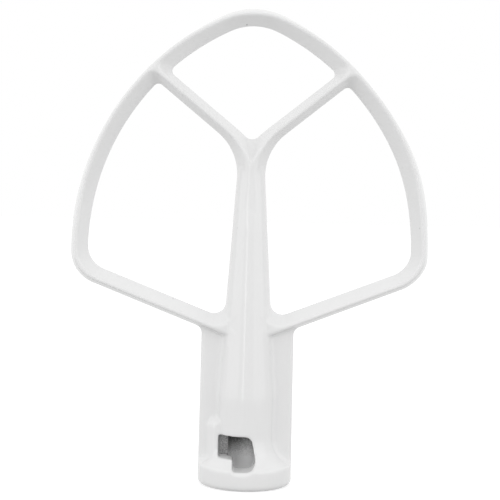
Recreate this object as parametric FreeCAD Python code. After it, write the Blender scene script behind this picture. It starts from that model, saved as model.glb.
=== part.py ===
import FreeCAD
import Part
import math
import os

# Stand mixer flat beater: one aluminium casting, upright on the end face of its hub.
# Sizes are in millimetres. Z runs up the stem to the tip, X runs across the frame, -Y is the front.
# The casting has its parting line in the plane Y = 0, so every blade is widest there.

# Frame seen from the front, measured at the parting line
overall_height = 178.8
frame_width = 134.6
arch_radius = 98.0
apex_radius = 27.0
lower_corner_radius = 13.0
inner_corner_radius = 9.3
blade_width = 6.4

# Depth of the frame, and how its faces slope from the parting line to the ridges in front and behind
frame_depth = 11.5
parting_land = 0.8
inner_slope_share = 0.7
ridge_width = 0.4
ridge_bevel_width = 0.5
ridge_bevel_depth = 0.45

# Lower arms, from the hub up to the frame's lower corners
lower_arm_angle = 21.2
lower_arm_width = 6.4
lower_arm_foot = 52.2

# Upper arms, from the top of the stem up to the arch
upper_arm_angle = 39.0
upper_arm_width = 5.8
upper_arm_foot = 122.1

# Corner radii of the three openings at the parting line
frame_corner_radius = 2.0
stem_top_corner_radius = 20.0
stem_foot_corner_radius = 4.5

# Crotch between the upper arms, and the valley it forms down to the front and back of the stem
crotch_radius = 3.4
crotch_reach = 6.0
crotch_drop = 0.7
valley_tip_radius = 0.4
valley_reach = 11.0
valley_drop = 5.3

# Tapered stem, which widens into the barrel of the hub
stem_radius = 5.13
stem_top_gap = 3.1
stem_shoulder_half_width = 1.6
stem_cover = 0.8
stem_crown_radius = 4.4
stem_crown_height = 3.8
stem_tip_radius = 1.6
stem_tip_height = 8.6
barrel_radius = 10.8
barrel_height = 33.5

# Collar at the hub's open end
collar_diameter = 35.5
collar_height = 7.6
collar_edge_radius = 2.0
flare_height = 10.2
rim_radius = 0.7

# Flat fins on both sides of the barrel
fin_foot_span = 35.3
fin_top_span = 34.8
fin_thickness = 4.4
fin_edge_share = 0.2
fin_corner_radius = 3.2
fin_root_radius = 2.5
fin_root_steps = 3

# Socket for the drive shaft and the way for its cross pin
bore_diameter = 12.8
bore_depth = 45.0
bore_chamfer = 0.8
keyway_reach = 11.6

# Bayonet window in the front of the barrel
window_left = -10.1
window_sill_end = -4.6
window_right = 4.0
window_top = 19.2
window_sill = 11.0
window_bottom = 7.1
window_lean = 12.0
window_floor = 1.8
window_end_radius = 0.4
window_small_radius = 1.1
window_top_radius = 2.8
window_foot_radius = 3.6
sill_corner_radius = 0.6

# Bevel round the window's foot, where it breaks through the face of the collar
lip_depth = 1.2
lip_bevel = 1.0

# Raised pad beside the window
pad_front = 5.6
pad_strip = 1.7
pad_side_slope = 4.7
pad_rise = 4.8
pad_top_slope = 3.8
pad_corner_radius = 2.6

# How far joined solids run into each other, and cutters past the faces they cut
overlap = 0.12
clear = 1.0
tolerance = 1e-6


def flat(x, z):
    return FreeCAD.Vector(x, 0, z)


def across(direction):
    return flat(-direction.z, direction.x)


class Straight:
    """A straight boundary with the open side on the left of its direction."""

    def __init__(self, start, direction):
        self.start = start
        self.direction = direction / direction.Length

    def moved_in(self, distance):
        return Straight(self.start + across(self.direction) * distance, self.direction)

    def foot(self, place):
        return self.start + self.direction * (place - self.start).dot(self.direction)

    def edge(self, begin, end):
        return Part.makeLine(begin, end)


class Round:
    """A circular boundary with the open side inside it, or outside it when hollow is -1."""

    def __init__(self, centre, radius, hollow=1):
        self.centre = centre
        self.radius = radius
        self.hollow = hollow

    def moved_in(self, distance):
        return Round(self.centre, self.radius - self.hollow * distance, self.hollow)

    def foot(self, place):
        arm = place - self.centre
        return self.centre + arm * (self.radius / arm.Length)

    def edge(self, begin, end):
        return Part.Arc(begin, self.foot((begin + end) / 2), end).toShape()


def crossing(first, second, near):
    """Where two boundaries cross; of two crossings, the one nearer to the given place."""
    if isinstance(first, Straight) and isinstance(second, Straight):
        gap = second.start - first.start
        travel = gap.dot(across(second.direction)) / first.direction.dot(across(second.direction))
        return first.start + first.direction * travel
    if isinstance(second, Straight):
        return crossing(second, first, near)
    if isinstance(first, Straight):
        middle = first.foot(second.centre)
        half = math.sqrt(second.radius ** 2 - (middle - second.centre).Length ** 2)
        step = first.direction * half
    else:
        gap = second.centre - first.centre
        reach = (gap.Length ** 2 + first.radius ** 2 - second.radius ** 2) / (2 * gap.Length)
        middle = first.centre + gap * (reach / gap.Length)
        step = across(gap / gap.Length) * math.sqrt(first.radius ** 2 - reach ** 2)
    return min([middle + step, middle - step], key=lambda place: (place - near).Length)


def corner(first, second, radius, near):
    """Start, middle and end of the rounded corner between two boundaries."""
    sharp = crossing(first, second, near)
    centre = crossing(first.moved_in(radius), second.moved_in(radius), near)
    outwards = sharp - centre
    middle = centre + outwards * (abs(radius) / outwards.Length)
    return first.foot(centre), middle, second.foot(centre)


def outline(boundaries, corners):
    """Closed wire; corners[i] is (radius, near place) between boundary i and the next one.

    Boundaries that already touch smoothly have the radius None and the place where they touch.
    """
    count = len(boundaries)
    bends = []
    for index in range(count):
        radius, near = corners[index]
        following = boundaries[(index + 1) % count]
        if radius is None:
            bends.append((near, None, near))
        else:
            bends.append(corner(boundaries[index], following, radius, near))
    edges = []
    for index in range(count):
        begin, middle, end = bends[index]
        if middle is not None:
            edges.append(Part.Arc(begin, middle, end).toShape())
        following = (index + 1) % count
        edges.append(boundaries[following].edge(end, bends[following][0]))
    return Part.Wire(edges)


def moved(shape, depth):
    """Copy of a shape at a depth; the front is negative."""
    copy = shape.copy()
    copy.translate(FreeCAD.Vector(0, depth, 0))
    return copy


def mirrored(shape):
    """The same shape on the other side of the stem."""
    return shape.mirror(flat(0, 0), flat(1, 0))


class Level:
    """One depth of the blades, with the share of their slopes and the bevel reached there."""

    def __init__(self, depth, share, bevel):
        self.depth = depth
        self.share = share
        self.bevel = bevel

    def inset(self, slope):
        return slope * self.share + self.bevel

    def between(self, at_parting, at_ridge):
        return at_parting + (at_ridge - at_parting) * self.share


# Sizes that follow from the ones above
half_width = frame_width / 2
half_depth = frame_depth / 2
apex_rise = math.sqrt((arch_radius - apex_radius) ** 2 - (arch_radius - half_width) ** 2)
widest_level = overall_height - apex_radius - apex_rise
top = flat(0, overall_height)
right_end = flat(half_width, widest_level)
left_end = flat(-half_width, widest_level)
shoulder_width = ridge_width + 2 * ridge_bevel_width
inner_slope = (blade_width - shoulder_width) * inner_slope_share
outer_slope = (blade_width - shoulder_width) * (1 - inner_slope_share)
lower_arm_slope = lower_arm_width - shoulder_width - outer_slope
upper_arm_slope = (upper_arm_width - shoulder_width) / 2
parting = Level(parting_land / 2, 0, 0)
shoulder = Level(half_depth - ridge_bevel_depth, 1, 0)
ridge = Level(half_depth, 1, ridge_bevel_width)
stem_level = upper_arm_foot - stem_top_gap
stem_foot_level = lower_arm_foot + 2 * lower_arm_width
collar_radius = collar_diameter / 2
flare_top = collar_height + flare_height
flare_overhang = collar_radius - barrel_radius
flare_radius = (flare_overhang ** 2 + flare_height ** 2) / (2 * flare_overhang)
fin_root_depth = fin_thickness / 2 - overlap + fin_root_radius
fin_root_levels = [lower_arm_foot + lower_arm_width, barrel_height, flare_top]


def stem_radius_at(level):
    if level < barrel_height:
        return barrel_radius
    taper = (barrel_radius - stem_radius) / (stem_level - barrel_height)
    return stem_radius + (stem_level - level) * taper


def arch(side, inset):
    centre = flat(side * (half_width - arch_radius), widest_level)
    return Round(centre, arch_radius - inset)


def arm_edge(side, angle, foot, rise, heading):
    """Edge of an arm, raised square to it; heading 1 runs outwards and -1 runs to the stem."""
    slope = math.radians(angle)
    start = flat(0, foot + rise / math.cos(slope))
    return Straight(start, flat(side * math.cos(slope), math.sin(slope)) * heading)


def lower_arm_edge(side, rise, heading):
    return arm_edge(side, lower_arm_angle, lower_arm_foot, rise, heading)


def upper_arm_edge(side, rise, heading):
    return arm_edge(side, upper_arm_angle, upper_arm_foot, rise, heading)


def frame_outline(level):
    """Outer outline of the frame and lower arms."""
    inset = level.inset(outer_slope)
    boundaries = [
        lower_arm_edge(1, inset, 1),
        arch(1, inset),
        arch(-1, inset),
        lower_arm_edge(-1, inset, -1),
    ]
    corners = [
        (lower_corner_radius - inset, right_end),
        (apex_radius - inset, top),
        (lower_corner_radius - inset, left_end),
        (lower_corner_radius, flat(0, lower_arm_foot)),
    ]
    return outline(boundaries, corners)


def side_opening(level):
    """Opening right of the stem, made wider at each blade by that blade's slope."""
    frame_slope = level.inset(inner_slope)
    lower_slope = level.inset(lower_arm_slope)
    upper_slope = level.inset(upper_arm_slope)
    stem_foot = stem_radius_at(stem_foot_level)
    stem_chord = math.sqrt(stem_foot ** 2 - level.depth ** 2) - stem_cover
    stem_foot_x = level.between(stem_foot, stem_chord)
    stem_top_x = level.between(stem_radius, stem_shoulder_half_width) - level.bevel
    stem_side = flat(stem_foot_x - stem_top_x, stem_foot_level - stem_level)
    boundaries = [
        lower_arm_edge(1, lower_arm_width - lower_slope, 1),
        arch(1, blade_width - frame_slope),
        upper_arm_edge(1, upper_slope, -1),
        Straight(flat(stem_top_x, stem_level), stem_side),
    ]
    corners = [
        (inner_corner_radius + frame_slope, right_end),
        (frame_corner_radius + upper_slope / 2, flat(half_width / 2, overall_height)),
        (stem_top_corner_radius + upper_slope, flat(0, upper_arm_foot)),
        (stem_foot_corner_radius + lower_slope / 2, flat(0, lower_arm_foot)),
    ]
    return outline(boundaries, corners)


def valley_side(side, arm, reach, drop):
    """Circle that leaves an upper arm smoothly at the reach and meets the axis after the drop."""
    touch = arm.start + flat(side, math.tan(math.radians(upper_arm_angle))) * reach
    chord = arm.start - flat(0, drop) - touch
    into_arm = across(arm.direction) * -1
    radius = chord.dot(chord) / (2 * chord.dot(into_arm))
    return touch, Round(touch + into_arm * radius, radius, -1)


def top_opening(level):
    """Opening between the arch and the two upper arms."""
    frame_slope = level.inset(inner_slope)
    upper_slope = level.inset(upper_arm_slope)
    reach = level.between(crotch_reach, valley_reach)
    drop = level.between(crotch_drop, valley_drop)
    tip_radius = level.between(crotch_radius, valley_tip_radius)
    right_arm = upper_arm_edge(1, upper_arm_width - upper_slope, 1)
    left_arm = upper_arm_edge(-1, upper_arm_width - upper_slope, -1)
    right_touch, right_valley = valley_side(1, right_arm, reach, drop)
    left_touch, left_valley = valley_side(-1, left_arm, reach, drop)
    inset = blade_width - frame_slope
    side_radius = frame_corner_radius + upper_slope / 2
    boundaries = [right_arm, arch(1, inset), arch(-1, inset), left_arm, left_valley, right_valley]
    corners = [
        (side_radius, flat(half_width, overall_height)),
        (apex_radius - inset, top),
        (side_radius, flat(-half_width, overall_height)),
        (None, left_touch),
        (tip_radius, top),
        (None, right_touch),
    ]
    return outline(boundaries, corners)


def sloping(outline_at):
    """Solid through an outline's forms at every level, in front and behind."""
    front = [moved(outline_at(level), -level.depth) for level in [ridge, shoulder, parting]]
    back = [moved(outline_at(level), level.depth) for level in [parting, shoulder, ridge]]
    return Part.makeLoft(front + back, True, True)


def blades():
    """Frame, arms and the ridged core of the stem."""
    right = sloping(side_opening)
    return sloping(frame_outline).cut(right).cut(mirrored(right)).cut(sloping(top_opening))


def stem_and_collar():
    """Stem, barrel, flare and collar, turned about the axis."""
    end_face = Straight(flat(0, 0), flat(1, 0))
    band = Straight(flat(collar_radius, 0), flat(0, 1))
    flare = Round(flat(barrel_radius + flare_radius, flare_top), flare_radius, -1)
    edge_start, edge_middle, edge_end = corner(end_face, band, collar_edge_radius, band.start)
    rim = flat(collar_radius, collar_height)
    rim_start, rim_middle, rim_end = corner(band, flare, rim_radius, rim)
    throat = flat(barrel_radius, flare_top)
    barrel_top = flat(barrel_radius, barrel_height)
    neck = flat(stem_radius, stem_level)
    crown = flat(stem_crown_radius, stem_level + stem_crown_height)
    tip = flat(stem_tip_radius, stem_level + stem_tip_height)
    profile = Part.Wire([
        Part.makeLine(flat(0, 0), edge_start),
        Part.Arc(edge_start, edge_middle, edge_end).toShape(),
        Part.makeLine(edge_end, rim_start),
        Part.Arc(rim_start, rim_middle, rim_end).toShape(),
        flare.edge(rim_end, throat),
        Part.makeLine(throat, barrel_top),
        Part.makeLine(barrel_top, neck),
        Part.makeLine(neck, crown),
        Part.makeLine(crown, tip),
        Part.makeLine(tip, flat(0, tip.z)),
        Part.makeLine(flat(0, tip.z), flat(0, 0)),
    ])
    return Part.Face(profile).revolve(flat(0, 0), flat(0, 1), 360)


def fin():
    """Right fin: flat web under the lower arm, whose rounded outer edge sweeps out into the arm."""
    half_thickness = fin_thickness / 2
    foot = flat(fin_foot_span / 2, collar_height)
    head = flat(fin_top_span / 2, lower_arm_foot)
    outer_edge = Straight(foot, head - foot)
    underside = lower_arm_edge(1, overlap, 1)
    begin, middle, end = corner(outer_edge, underside, -fin_corner_radius, head)
    arm_middle = lower_arm_edge(1, lower_arm_width / 2, 1)
    inside_barrel = Straight(flat(barrel_radius / 2, 0), flat(0, 1))
    low = Straight(flat(0, collar_height / 2), flat(1, 0))
    inner_foot = crossing(low, inside_barrel, foot)
    outer_foot = crossing(low, outer_edge, foot)
    web = Part.Wire([
        Part.makeLine(inner_foot, outer_foot),
        Part.makeLine(outer_foot, begin),
        Part.Arc(begin, middle, end).toShape(),
        Part.makeLine(end, arm_middle.foot(end)),
        Part.makeLine(arm_middle.foot(end), crossing(arm_middle, inside_barrel, end)),
        Part.makeLine(crossing(arm_middle, inside_barrel, end), inner_foot),
    ])
    body = moved(Part.Face(web), -half_thickness).extrude(FreeCAD.Vector(0, fin_thickness, 0))
    outer = []
    for edge in body.Edges:
        ends = [flat(vertex.X, vertex.Z) for vertex in edge.Vertexes]
        along_edge = all((place - outer_edge.foot(place)).Length < tolerance for place in ends)
        if along_edge and edge.Length > fin_thickness:
            outer.append(edge)
    return body.makeFillet(fin_thickness * fin_edge_share, outer)


def barrel_side(level, depth):
    """Half width of the barrel or stem at a level and depth, a little under its surface."""
    return math.sqrt((stem_radius_at(level) - overlap) ** 2 - depth ** 2)


def fin_root_middle(level):
    """Half width at the middle line of the hollow between the barrel and the fin."""
    away = stem_radius_at(level) - overlap + fin_root_radius
    return math.sqrt(away ** 2 - fin_root_depth ** 2)


def fin_root_section(depth, reach):
    """Section of the fillet at one depth, whose hollow face is the reach away from the middle line."""
    bend = flare_radius - fin_root_radius
    over_flare = Round(flat(fin_root_middle(flare_top) + bend, flare_top), bend + reach, -1)
    outer = Straight(flat(collar_radius, 0), flat(0, 1))
    head, foot, throat = [flat(fin_root_middle(level) - reach, level) for level in fin_root_levels]
    end = crossing(over_flare, outer, flat(collar_radius, collar_height))
    low = collar_height / 2
    section = Part.Wire([
        Part.makeLine(flat(0, head.z), head),
        Part.makeLine(head, foot),
        Part.makeLine(foot, throat),
        over_flare.edge(throat, end),
        Part.makeLine(end, flat(collar_radius, low)),
        Part.makeLine(flat(collar_radius, low), flat(0, low)),
        Part.makeLine(flat(0, low), flat(0, head.z)),
    ])
    return moved(section, -depth)


def fin_root():
    """Fillet from the front of the right fin to the barrel and, below it, out over the flare."""
    sections = []
    for step in range(fin_root_steps):
        turn = math.radians(90 * step / fin_root_steps)
        depth = fin_root_depth - fin_root_radius * math.cos(turn)
        sections.append(fin_root_section(depth, fin_root_radius * math.sin(turn)))
    gaps = [fin_root_middle(level) - barrel_side(level, fin_root_depth) for level in fin_root_levels]
    sections.append(fin_root_section(fin_root_depth, max(gaps)))
    fillet = Part.makeLoft(sections, True, True)
    return fillet.common(Part.makeCylinder(fin_foot_span / 2, lower_arm_foot + 2 * lower_arm_width))


def pad_outline(left, upper, radius, depth):
    boundaries = [
        Straight(flat(left, collar_height), flat(1, 0)),
        Straight(flat(window_sill_end, 0), flat(0, 1)),
        Straight(flat(0, upper), flat(-1, 0)),
        Straight(flat(left, 0), flat(0, -1)),
    ]
    corners = [
        (window_small_radius, flat(window_sill_end, collar_height)),
        (window_small_radius, flat(window_sill_end, upper)),
        (radius, flat(left, upper)),
        (window_small_radius, flat(left, collar_height)),
    ]
    return moved(outline(boundaries, corners), -depth)


def pad():
    """Raised pad on the left fin, through which the window's left end is cut."""
    left = window_left - pad_strip
    upper = window_top + pad_rise
    foot_radius = pad_corner_radius + pad_side_slope
    foot = pad_outline(left - pad_side_slope, upper + pad_top_slope, foot_radius, 0)
    front = pad_outline(left, upper, pad_corner_radius, pad_front)
    return Part.makeLoft([foot, front], True, True)


def socket():
    """Blind bore for the drive shaft, with a chamfered mouth."""
    radius = bore_diameter / 2
    profile = Part.makePolygon([
        flat(0, -clear),
        flat(radius + bore_chamfer + clear, -clear),
        flat(radius, bore_chamfer),
        flat(radius, bore_depth),
        flat(0, bore_depth),
        flat(0, -clear),
    ])
    return Part.Face(profile).revolve(flat(0, 0), flat(0, 1), 360)


def keyway():
    """Way for the cross pin from the hub's end face up to the window."""
    width = window_right - window_sill_end
    start = FreeCAD.Vector(window_sill_end, -keyway_reach, -clear)
    return Part.makeBox(width, keyway_reach, window_sill + clear, start)


def window_right_edge():
    """Right edge of the window, which leans to the left on its way up."""
    lean = math.radians(window_lean)
    return Straight(flat(window_right, window_sill), flat(-math.sin(lean), math.cos(lean)))


def window():
    """Bayonet window: the pin comes up on the right and turns to the left over the sill."""
    boundaries = [
        Straight(flat(0, window_bottom), flat(1, 0)),
        window_right_edge(),
        Straight(flat(0, window_top), flat(-1, 0)),
        Straight(flat(window_left, 0), flat(0, -1)),
        Straight(flat(0, window_sill), flat(1, 0)),
        Straight(flat(window_sill_end, 0), flat(0, -1)),
    ]
    corners = [
        (window_foot_radius, flat(window_right, window_bottom)),
        (window_top_radius, flat(window_right, window_top)),
        (window_end_radius, flat(window_left, window_top)),
        (window_end_radius, flat(window_left, window_sill)),
        (-sill_corner_radius, flat(window_sill_end, window_sill)),
        (window_small_radius, flat(window_sill_end, window_bottom)),
    ]
    face = moved(Part.Face(outline(boundaries, corners)), -window_floor)
    return face.extrude(FreeCAD.Vector(0, -collar_diameter, 0))


def lip_outline(depth):
    """Foot of the window at one depth, wider by what the bevel has grown there."""
    grow = (depth - collar_radius + lip_depth) * lip_bevel / lip_depth
    boundaries = [
        Straight(flat(0, window_bottom), flat(1, 0)).moved_in(-grow),
        window_right_edge().moved_in(-grow),
        Straight(flat(0, window_top), flat(-1, 0)),
        Straight(flat(window_sill_end - grow, 0), flat(0, -1)),
    ]
    corners = [
        (window_foot_radius + grow, flat(window_right, window_bottom)),
        (sill_corner_radius, flat(window_right, window_top)),
        (sill_corner_radius, flat(window_sill_end, window_top)),
        (window_small_radius + grow, flat(window_sill_end, window_bottom)),
    ]
    return moved(outline(boundaries, corners), -depth)


def lip():
    """Bevel around the foot of the window, from a little inside its walls out through the collar."""
    inner = lip_outline(collar_radius - lip_depth - overlap)
    outer = lip_outline(collar_radius + clear)
    return Part.makeLoft([inner, outer], True, True)


def flat_beater():
    body = blades().fuse(stem_and_collar())
    front_root = fin_root()
    back_root = front_root.mirror(flat(0, 0), FreeCAD.Vector(0, 1, 0))
    for piece in [fin(), front_root, back_root]:
        body = body.fuse(piece).fuse(mirrored(piece))
    body = body.fuse(pad())
    for space in [socket(), keyway(), window(), lip()]:
        body = body.cut(space)
    return body.removeSplitter().Solids[0]


os.makedirs("parts", exist_ok=True)
flat_beater().exportStep("parts/flat_beater.step")
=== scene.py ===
import math

import bmesh
import bpy
from mathutils import Matrix, Vector
from mathutils.bvhtree import BVHTree


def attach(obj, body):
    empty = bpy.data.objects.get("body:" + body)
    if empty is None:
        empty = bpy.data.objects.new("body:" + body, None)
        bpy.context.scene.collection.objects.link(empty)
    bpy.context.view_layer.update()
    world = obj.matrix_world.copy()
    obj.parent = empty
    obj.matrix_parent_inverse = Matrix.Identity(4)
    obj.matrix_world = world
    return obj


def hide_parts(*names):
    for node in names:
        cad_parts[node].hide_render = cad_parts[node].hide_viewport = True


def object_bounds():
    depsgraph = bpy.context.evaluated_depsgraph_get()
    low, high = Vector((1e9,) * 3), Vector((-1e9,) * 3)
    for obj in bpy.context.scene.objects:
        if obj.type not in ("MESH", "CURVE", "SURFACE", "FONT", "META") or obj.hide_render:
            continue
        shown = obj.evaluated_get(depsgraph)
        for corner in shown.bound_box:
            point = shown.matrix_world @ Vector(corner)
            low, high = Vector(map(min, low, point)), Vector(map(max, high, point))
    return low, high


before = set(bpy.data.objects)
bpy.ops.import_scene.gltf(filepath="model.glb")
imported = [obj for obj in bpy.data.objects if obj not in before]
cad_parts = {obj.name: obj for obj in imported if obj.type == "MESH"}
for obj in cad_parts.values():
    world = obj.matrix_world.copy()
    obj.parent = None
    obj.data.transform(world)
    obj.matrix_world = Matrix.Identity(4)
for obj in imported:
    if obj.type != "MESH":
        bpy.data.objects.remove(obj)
cad_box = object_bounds()

# Sizes in metres, in the frame of the casting: Z up the stem, -Y the side with the bayonet window
MM = 0.001

# Skin of the coating, which rounds every edge and inner corner of the casting a little
MERGE_DISTANCE = 0.001 * MM
COAT_VOXEL = 0.6 * MM
COAT_SOFTENING = 3
SMOOTHING_FACTOR = 0.5

# Bore for the drive shaft, bare up to its end, painted dark as shade deep inside, with painted light that
# fades up its wall from the open end
BORE_RADIUS = 6.4 * MM
BORE_END = 46.0 * MM
BARE_EDGE = 0.2 * MM
COATED_EDGE = 0.5 * MM
BORE_LIGHT_LOW = 7.0 * MM
BORE_LIGHT_TOP = 19.0 * MM
BORE_LIGHT_SPREAD = 8.0 * MM

# Ledge of the window's foot, a wall that reaches from the collar in to the bore
LEDGE_LEFT = -4.6 * MM
LEDGE_RIGHT = 4.0 * MM
LEDGE_TOP = 7.1 * MM
LEDGE_BOTTOM = 4.0 * MM
LEDGE_LEFT_RADIUS = 1.1 * MM
LEDGE_RIGHT_RADIUS = 3.6 * MM
LEDGE_OUTSIDE = -12.2 * MM
LEDGE_OVERLAP = 0.3 * MM
LEDGE_STEPS = 36

# Outer edge of the arch: one arc on each side, whose centre lies across the stem
ARCH_RADIUS = 98.0 * MM
ARCH_CENTRE_X = 30.7 * MM
ARCH_CENTRE_Z = 87.8 * MM

# Ridge of the arch, which runs nearer to the outer edge than in the solid, except at the apex
RIDGE_SHIFT = 0.9 * MM
RIDGE_DEPTH = 5.3 * MM
RIDGE_BAND = 5.0 * MM
RIDGE_BAND_END = 10.0 * MM
RIDGE_SHIFT_FOOT = 100.0 * MM
RIDGE_SHIFT_FULL = 140.0 * MM
APEX_HALF_WIDTH = 25.0 * MM

# Right blade, which bows out a little more than the left one
BOW = 1.1 * MM
BOW_LEVEL = 121.0 * MM
BOW_SPAN = 32.0 * MM
BOW_BAND_END = 14.0 * MM

# Lower right corner of the frame, which is rounder than the left one
CORNER = Vector((62.5 * MM, 0, 76.0 * MM))
CORNER_CUT = Vector((-0.9 * MM, 0, 0))
CORNER_SPAN = 12.0 * MM

# Top of the stem, whose front and back run into the crotch more smoothly than in the solid
STEM_HALF_WIDTH = 7.5 * MM
STEM_BLEND_FOOT = 96.0 * MM
STEM_BLEND_LOW = 104.0 * MM
STEM_BLEND_HIGH = 116.0 * MM
STEM_BLEND_TOP = 121.0 * MM
STEM_BLEND_STEPS = 90
CROTCH_RISE = 1.3

# Rough pocket at the left end of the bayonet window, from its left edge to the bore, painted dark as
# shade of the recess
POCKET_FLOOR = -1.8 * MM
POCKET_FADE_START = 0.9 * MM
POCKET_FADE_END = 0.4 * MM
POCKET_LEFT = -10.1 * MM
POCKET_RIGHT = -5.6 * MM
POCKET_BOTTOM = 11.0 * MM
POCKET_TOP = 19.2 * MM
POCKET_MARGIN = 0.5 * MM

# Greys of the coating, its specks and the bare metal, with painted shade and painted light in the bore
# and painted shade in the pocket
WHITE_LOW = 0.845
WHITE_HIGH = 0.875
SPECK_GREY = 0.12
SPECK_COVER = 0.85
SPECK_CORE = 0.45
# Bare metal of the bore painted almost black as shade deep inside, and a pale grey painted as light near
# its open end
BORE_SHADE_GREY = 0.06
BORE_LIGHT_GREY = 0.95
# Painted shade of the pocket's floor, in dark and lighter grains
POCKET_SHADE_DARK = 0.2
POCKET_SHADE_LIGHT = 0.46
POCKET_GRAIN_LOW = 0.3
POCKET_GRAIN_HIGH = 0.7

# Patterns: soft clouds and fine peel in the coating, and grain on bare metal
CLOUD_SCALE = 45.0
CLOUD_DETAIL = 3.0
PEEL_SCALE = 900.0
GRAIN_SCALE = 2600.0
FINE_DETAIL = 2.0
GRAIN_HEIGHT = 2.0
BUMP_STRENGTH = 0.08
BUMP_DISTANCE = 0.2 * MM

# Gloss of the coating, its specks and the bare metal
COAT_ROUGHNESS = 0.07
CLOUD_ROUGHNESS = 0.04
BARE_ROUGHNESS = 0.35
SPECK_ROUGHNESS = 0.3
BORE_METALLIC = 0.34
COAT_IOR = 1.5

# Dark specks in the coating of the front: X, Z and radius in millimetres, and darkness from 0 to 1
SPECKS = [
    (-2.9, 172.8, 0.50, 0.50),
    (30.4, 149.9, 0.42, 0.18),
    (-28.4, 69.6, 0.45, 0.22),
    (63.4, 98.4, 0.42, 0.28),
    (-4.6, 97.0, 0.28, 0.22),
    (-6.3, 87.3, 0.28, 0.20),
    (5.9, 177.2, 0.25, 0.35),
    (9.6, 176.2, 0.25, 0.45),
]

# Studio: a pale floor, a white surround and soft boxes round the beater
SURROUND = 0.871
FLOOR_REACH = 3.0
UNDER_HUB = 13.0 * MM
FLOOR_TONE = 0.55
FLOOR_GLOW = 0.62
LAMP_CENTRE = Vector((0, 0, 120 * MM))
LAMP_AWAY = 0.8

# Camera matched to the photograph, whose picture is 500 by 500 pixels
PICTURE = 500.0
FOCAL_PIXELS = 1370.0
SENSOR_WIDTH = 36.0
CLIP_START = 0.01
CAMERA_PITCH = 3.03
CAMERA_ROLL = 1.33
CAMERA_AWAY = 517.0 * MM
CAMERA_AIM = Vector((0.22 * MM, 0, 88.6 * MM))


class Value:
    """A shader socket that Python's operators join with Math nodes."""

    def __init__(self, finish, socket):
        self.finish = finish
        self.socket = socket

    def math(self, operation, first, second=0.0):
        return self.finish.add("ShaderNodeMath", {"operation": operation}, {0: first, 1: second})

    def __add__(self, other):
        return self.math("ADD", self, other)

    def __radd__(self, other):
        return self.math("ADD", other, self)

    def __sub__(self, other):
        return self.math("SUBTRACT", self, other)

    def __rsub__(self, other):
        return self.math("SUBTRACT", other, self)

    def __mul__(self, other):
        return self.math("MULTIPLY", self, other)

    def __rmul__(self, other):
        return self.math("MULTIPLY", other, self)

    def __lt__(self, other):
        return self.math("LESS_THAN", self, other)

    def __gt__(self, other):
        return self.math("GREATER_THAN", self, other)

    def larger(self, other):
        return self.math("MAXIMUM", self, other)

    def root(self):
        return self.math("SQRT", self)


class Finish:
    """The node tree of a material or of the world while it is being written."""

    def __init__(self, owner):
        owner.use_nodes = True
        self.owner = owner
        self.tree = owner.node_tree
        self.tree.nodes.clear()

    def add(self, kind, settings=None, inputs=None, output=0):
        """Adds a node: its settings first, then the values or links of its sockets."""
        node = self.tree.nodes.new(kind)
        for name, setting in (settings or {}).items():
            setattr(node, name, setting)
        for name, given in (inputs or {}).items():
            if isinstance(given, Value):
                self.tree.links.new(given.socket, node.inputs[name])
            else:
                node.inputs[name].default_value = given
        return Value(self, node.outputs[output]) if len(node.outputs) else node

    def place(self):
        return self.add("ShaderNodeTexCoord", output="Object")

    def parts(self, place):
        """X, Y and Z of a place."""
        return [self.add("ShaderNodeSeparateXYZ", None, {0: place}, output=axis) for axis in "XYZ"]

    def mixed(self, factor, first, second):
        """Colour between two colours."""
        colours = {0: factor, 6: first, 7: second}
        return self.add("ShaderNodeMix", {"data_type": "RGBA"}, colours, output=2)

    def step(self, value, low, high):
        """0 below low, 1 above high, smooth between; low may be the larger one."""
        limits = {"Value": value, "From Min": low, "From Max": high}
        return self.add("ShaderNodeMapRange", {"interpolation_type": "SMOOTHSTEP"}, limits)

    def noise(self, place, scale, detail):
        return self.add("ShaderNodeTexNoise", None, {"Vector": place, "Scale": scale, "Detail": detail})

    def distance(self, place, point):
        points = {0: place, 1: point}
        return self.add("ShaderNodeVectorMath", {"operation": "DISTANCE"}, points, output="Value")

    def white_to_the_eye(self):
        """1 on rays to the camera, and on what gloss and glass show of the studio; 0 on light."""
        rays = ["Is Camera Ray", "Is Glossy Ray", "Is Transmission Ray"]
        camera_ray, glossy, through = [self.add("ShaderNodeLightPath", output=name) for name in rays]
        return camera_ray.larger(glossy).larger(through)

    def finished(self, output, surface):
        self.add(output, None, {"Surface": surface})
        return self.owner


def grey(level):
    return (level, level, level, 1.0)


def bore_mask(finish, place):
    """1 on the machined wall of the bore, 0 on the coating."""
    x, y, z = finish.parts(place)
    reach = (x * x + y * y).root()
    in_bore = finish.step(reach, BORE_RADIUS + COATED_EDGE, BORE_RADIUS + BARE_EDGE)
    return in_bore * (z < BORE_END)


def shaded_pocket_mask(finish, place):
    """1 on the rough floor at the left end of the bayonet window, which is painted dark as shade of the
    recess.
    """
    x, y, z = finish.parts(place)
    deep = finish.step(y, POCKET_FLOOR - POCKET_FADE_START, POCKET_FLOOR - POCKET_FADE_END)
    in_front = deep * (y < 0.0)
    across = (x > POCKET_LEFT - POCKET_MARGIN) * (x < POCKET_RIGHT)
    along = (z > POCKET_BOTTOM - POCKET_MARGIN) * (z < POCKET_TOP + POCKET_MARGIN)
    return in_front * across * along


def speck_mask(finish, place, specks):
    """Darkness of the specks in the coating, 0 between them."""
    mask = 0.0
    for point, size, darkness in specks:
        away = finish.distance(place, point)
        mask = mask + finish.step(away, size, SPECK_CORE * size) * darkness
    return mask


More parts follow.
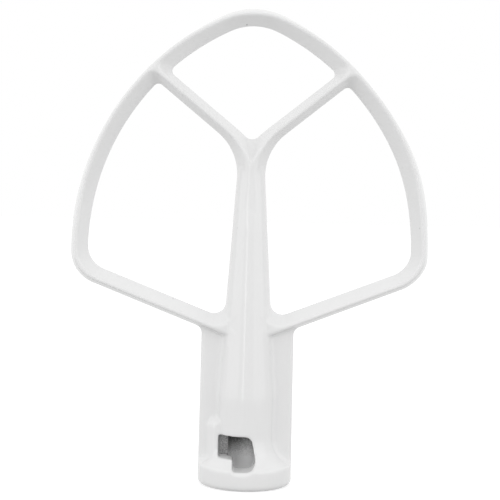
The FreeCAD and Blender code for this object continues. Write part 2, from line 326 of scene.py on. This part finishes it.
def bare_metal_light_and_shade(finish, place, pocket, grain):
    """Colour of uncoated metal: in the bore painted shade, with painted light fading up from the open end
    below, and in the pocket a rough grain painted dark as shade.
    """
    height = finish.parts(place)[2]
    speckled = height + (grain - 0.5) * BORE_LIGHT_SPREAD
    # Painted light: lighter grey low in the bore, as if lit from its open end, turning into painted shade
    # higher up
    bore_light = finish.step(speckled, BORE_LIGHT_TOP, BORE_LIGHT_LOW)
    bore_light_and_shade = finish.mixed(bore_light, grey(BORE_SHADE_GREY), grey(BORE_LIGHT_GREY))
    # Painted shade: the pocket's floor is dark grey with a coarse grain
    coarse = finish.step(grain, POCKET_GRAIN_LOW, POCKET_GRAIN_HIGH)
    shaded_pocket = finish.mixed(coarse, grey(POCKET_SHADE_DARK), grey(POCKET_SHADE_LIGHT))
    return finish.mixed(pocket, bore_light_and_shade, shaded_pocket)


def coated_casting_finish(specks):
    """Smooth white coating on cast aluminium, with bare metal in the bore and the pocket that carries
    painted shade and painted light.
    """
    finish = Finish(bpy.data.materials.new("white_coating"))
    place = finish.place()
    bore = bore_mask(finish, place)
    pocket = shaded_pocket_mask(finish, place)
    bare = bore.larger(pocket)
    dark = speck_mask(finish, place, specks)
    clouds = finish.noise(place, CLOUD_SCALE, CLOUD_DETAIL)
    peel = finish.noise(place, PEEL_SCALE, FINE_DETAIL)
    grain = finish.noise(place, GRAIN_SCALE, FINE_DETAIL)
    white = finish.mixed(clouds, grey(WHITE_LOW), grey(WHITE_HIGH))
    flecked = finish.mixed(dark * SPECK_COVER, white, grey(SPECK_GREY))
    colour = finish.mixed(bare, flecked, bare_metal_light_and_shade(finish, place, pocket, grain))
    coat_roughness = COAT_ROUGHNESS + clouds * CLOUD_ROUGHNESS
    bump = finish.add("ShaderNodeBump", None, {
        "Strength": BUMP_STRENGTH,
        "Distance": BUMP_DISTANCE,
        "Height": peel * (1 - bare) + grain * bare * GRAIN_HEIGHT,
    })
    surface = finish.add("ShaderNodeBsdfPrincipled", None, {
        "Base Color": colour,
        "Roughness": coat_roughness + bare * BARE_ROUGHNESS + dark * SPECK_ROUGHNESS,
        "Metallic": bore * BORE_METALLIC,
        "Normal": bump,
        "IOR": COAT_IOR,
    })
    return finish.finished("ShaderNodeOutputMaterial", surface)


def graph():
    bpy.context.view_layer.update()
    return bpy.context.evaluated_depsgraph_get()


def make_plain(piece):
    """Turns a piece with modifiers into a plain mesh."""
    mesh = bpy.data.meshes.new_from_object(piece.evaluated_get(graph()))
    piece.modifiers.clear()
    piece.data = mesh


def ledge_height(x):
    """Level of the window's foot, which turns up in an arc at both ends."""
    over_left = LEDGE_LEFT + LEDGE_LEFT_RADIUS - x
    over_right = x - LEDGE_RIGHT + LEDGE_RIGHT_RADIUS
    radius = LEDGE_LEFT_RADIUS if over_left > 0 else LEDGE_RIGHT_RADIUS
    over = min(max(over_left, over_right, 0), radius)
    return LEDGE_TOP + radius - math.sqrt(radius ** 2 - over ** 2)


def add_ledge(shape):
    """Adds the ledge to a casting: sections across the wall, one beside the other."""
    start = LEDGE_LEFT - LEDGE_OVERLAP
    reach = LEDGE_RIGHT + LEDGE_OVERLAP - start
    sections = []
    for step in range(LEDGE_STEPS + 1):
        x = start + reach * step / LEDGE_STEPS
        top = ledge_height(x)
        bore_side = -math.sqrt(BORE_RADIUS ** 2 - x ** 2)
        outside = [(x, LEDGE_OUTSIDE, LEDGE_BOTTOM), (x, LEDGE_OUTSIDE, top)]
        inside = [(x, bore_side, top), (x, bore_side, LEDGE_BOTTOM)]
        sections.append([shape.verts.new(corner) for corner in outside + inside])
    faces = [shape.faces.new(sections[0]), shape.faces.new(sections[-1])]
    for first, second in zip(sections, sections[1:]):
        for side in range(len(first)):
            corners = [first[side - 1], first[side], second[side], second[side - 1]]
            faces.append(shape.faces.new(corners))
    bmesh.ops.recalc_face_normals(shape, faces=faces)


def fade(value, low, high):
    """0 at low, 1 at high, straight between; low may be the larger one."""
    return min(max((value - low) / (high - low), 0), 1)


def swell(away, span):
    """1 in the middle, 0 past the span, with a smooth slope between."""
    return math.cos(math.pi / 2 * min(abs(away) / span, 1)) ** 2


def to_arch_edge(point):
    """How far a point lies inside the outer edge of the arch, and the direction to that edge."""
    centre = Vector((math.copysign(ARCH_CENTRE_X, -point.x), point.y, ARCH_CENTRE_Z))
    outwards = point - centre
    return ARCH_RADIUS - outwards.length, outwards.normalized()


def ridge_shift(point, inside):
    """How far the ridge moves to the outer edge at a point of the arch; the edge itself stays."""
    deep = fade(abs(point.y), 0, RIDGE_DEPTH)
    near_edge = fade(inside, RIDGE_BAND_END, RIDGE_BAND)
    high = fade(point.z, RIDGE_SHIFT_FOOT, RIDGE_SHIFT_FULL)
    beside_apex = fade(abs(point.x), 0, APEX_HALF_WIDTH)
    return RIDGE_SHIFT * deep * near_edge * high * beside_apex


def right_bow(point, inside):
    """How far a point of the right blade bows out."""
    if point.x < 0:
        return 0
    return BOW * swell(point.z - BOW_LEVEL, BOW_SPAN) * fade(inside, BOW_BAND_END, 0)


def corner_cut(point):
    """How far a point near the lower right corner moves in."""
    away = math.hypot(point.x - CORNER.x, point.z - CORNER.z)
    return CORNER_CUT * swell(away, CORNER_SPAN)


def shape_frame(shape):
    """Moves the ridges of the arch outwards, bows the right blade and rounds its lower corner."""
    for corner in shape.verts:
        point = corner.co.copy()
        inside, outwards = to_arch_edge(point)
        corner.co += outwards * (ridge_shift(point, inside) + right_bow(point, inside))
        corner.co += corner_cut(point)


def merged_copy(mesh):
    """Copy of a casting's mesh: its loose triangles joined, its frame shaped and the ledge added."""
    copy = mesh.copy()
    shape = bmesh.new()
    shape.from_mesh(copy)
    bmesh.ops.remove_doubles(shape, verts=shape.verts, dist=MERGE_DISTANCE)
    shape_frame(shape)
    add_ledge(shape)
    shape.to_mesh(copy)
    shape.free()
    return copy


def blend_stem(piece):
    """Smooths the top of the stem in front and behind, in depth alone, up to the ridges of the crotch."""
    stem_top = piece.vertex_groups.new(name="stem_top")
    for corner in piece.data.vertices:
        across = abs(corner.co.x)
        height = corner.co.z
        below_ridge = height - CROTCH_RISE * across
        lower_share = fade(height, STEM_BLEND_FOOT, STEM_BLEND_LOW)
        upper_share = fade(below_ridge, STEM_BLEND_TOP, STEM_BLEND_HIGH)
        weight = lower_share * upper_share
        if weight > 0 and across < STEM_HALF_WIDTH:
            stem_top.add([corner.index], weight, "REPLACE")
    blend = piece.modifiers.new("blend", "SMOOTH")
    blend.vertex_group = "stem_top"
    blend.use_x = False
    blend.use_z = False
    blend.factor = SMOOTHING_FACTOR
    blend.iterations = STEM_BLEND_STEPS
    make_plain(piece)
    piece.vertex_groups.clear()


def softened_skin(piece):
    """Even skin that hugs the piece, then softens at its edges and corners as a coating does."""
    casting = bpy.data.objects.new("casting", piece.data)
    bpy.context.scene.collection.objects.link(casting)
    skin = piece.modifiers.new("coat", "REMESH")
    skin.mode = "VOXEL"
    skin.voxel_size = COAT_VOXEL
    hug = piece.modifiers.new("hug", "SHRINKWRAP")
    hug.target = casting
    soften = piece.modifiers.new("soften", "SMOOTH")
    soften.factor = SMOOTHING_FACTOR
    soften.iterations = COAT_SOFTENING
    make_plain(piece)
    blend_stem(piece)
    piece.data.shade_smooth()
    bpy.data.objects.remove(casting)


def specks_on(piece):
    """Specks set on the front surface of a piece: place, radius and darkness of each."""
    surface = BVHTree.FromObject(piece, graph())
    specks = []
    for x, z, radius, darkness in SPECKS:
        start = Vector((x * MM, cad_box[0][1] - MM, z * MM))
        hit = surface.ray_cast(start, Vector((0, 1, 0)))[0]
        specks.append((hit, radius * MM, darkness))
    return specks


def coated_casting():
    """The whole beater: one casting under its white coating."""
    mesh = merged_copy(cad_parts["flat_beater"].data)
    piece = bpy.data.objects.new("coated_casting", mesh)
    bpy.context.scene.collection.objects.link(piece)
    softened_skin(piece)
    piece.data.materials.clear()
    piece.data.materials.append(coated_casting_finish(specks_on(piece)))
    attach(piece, "root")
    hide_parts("flat_beater")


def studio_world():
    """Dim white surround that looks full white to the camera."""
    world = bpy.data.worlds.new("studio")
    bpy.context.scene.world = world
    finish = Finish(world)
    dim = finish.add("ShaderNodeBackground", None, {"Color": grey(1.0), "Strength": SURROUND})
    white = finish.add("ShaderNodeBackground", None, {"Color": grey(1.0), "Strength": 1.0})
    seen = finish.white_to_the_eye()
    sky = finish.add("ShaderNodeMixShader", None, {0: seen, 1: dim, 2: white})
    finish.finished("ShaderNodeOutputWorld", sky)


def floor_finish():
    """Pale matt floor, white to the camera except in the beater's shade and under its hub."""
    finish = Finish(bpy.data.materials.new("pale_floor"))
    paint = finish.add("ShaderNodeBsdfDiffuse", None, {"Color": grey(FLOOR_TONE)})
    glow = finish.add("ShaderNodeEmission", None, {"Color": grey(1.0), "Strength": FLOOR_GLOW})
    lit = finish.add("ShaderNodeAddShader", None, {0: paint, 1: glow})
    open_floor = finish.distance(finish.place(), (0, 0, 0)) > UNDER_HUB
    seen = finish.white_to_the_eye() * open_floor
    surface = finish.add("ShaderNodeMixShader", None, {0: seen, 1: paint, 2: lit})
    return finish.finished("ShaderNodeOutputMaterial", surface)


def floor():
    """Sheet under the hub; the gloss of the beater shows the surround and the lamps instead of it."""
    mesh = bpy.data.meshes.new("floor")
    corners = [(-1, -1), (1, -1), (1, 1), (-1, 1)]
    places = [(x * FLOOR_REACH, y * FLOOR_REACH, 0) for x, y in corners]
    mesh.from_pydata(places, [], [(0, 1, 2, 3)])
    mesh.materials.append(floor_finish())
    sheet = bpy.data.objects.new("floor", mesh)
    sheet.visible_glossy = False
    bpy.context.scene.collection.objects.link(sheet)


def soft_box(name, azimuth, elevation, spread, rise, radiance):
    """Area lamp facing the beater, placed and sized in degrees; azimuth 0 is the camera's side."""
    turn = math.radians(azimuth)
    lift = math.radians(elevation)
    outwards = Vector((
        math.sin(turn) * math.cos(lift),
        -math.cos(turn) * math.cos(lift),
        math.sin(lift),
    ))
    lamp = bpy.data.lights.new(name, "AREA")
    lamp.shape = "RECTANGLE"
    lamp.size = 2 * LAMP_AWAY * math.tan(math.radians(spread / 2))
    lamp.size_y = 2 * LAMP_AWAY * math.tan(math.radians(rise / 2))
    lamp.energy = radiance * math.pi * lamp.size * lamp.size_y
    holder = bpy.data.objects.new(name, lamp)
    holder.location = LAMP_CENTRE + outwards * LAMP_AWAY
    holder.rotation_euler = outwards.to_track_quat("Z", "Y").to_euler()
    bpy.context.scene.collection.objects.link(holder)


def studio_lamps():
    """Two wide boxes at the sides, and a narrow strip that draws the line of light down the stem."""
    soft_box("left_box", azimuth=-64.5, elevation=12, spread=61, rise=53, radiance=0.64)
    soft_box("right_box", azimuth=55, elevation=12, spread=58, rise=53, radiance=0.64)
    soft_box("strip", azimuth=-14, elevation=2, spread=7, rise=32, radiance=2.0)


def camera():
    """Camera at the photograph's viewing angle."""
    lens = bpy.data.cameras.new("camera")
    lens.sensor_width = SENSOR_WIDTH
    lens.lens = SENSOR_WIDTH * FOCAL_PIXELS / PICTURE
    lens.clip_start = CLIP_START
    view = bpy.data.objects.new("camera", lens)
    pitch = math.radians(CAMERA_PITCH)
    outwards = Vector((0, -math.cos(pitch), math.sin(pitch)))
    look = Matrix.Rotation(math.radians(90 - CAMERA_PITCH), 4, "X")
    lean = Matrix.Rotation(math.radians(CAMERA_ROLL), 4, "Z")
    view.matrix_world = Matrix.Translation(CAMERA_AIM + outwards * CAMERA_AWAY) @ look @ lean
    bpy.context.scene.collection.objects.link(view)
    bpy.context.scene.camera = view


bpy.context.scene.view_settings.view_transform = "Standard"
coated_casting()
studio_world()
floor()
studio_lamps()
camera()
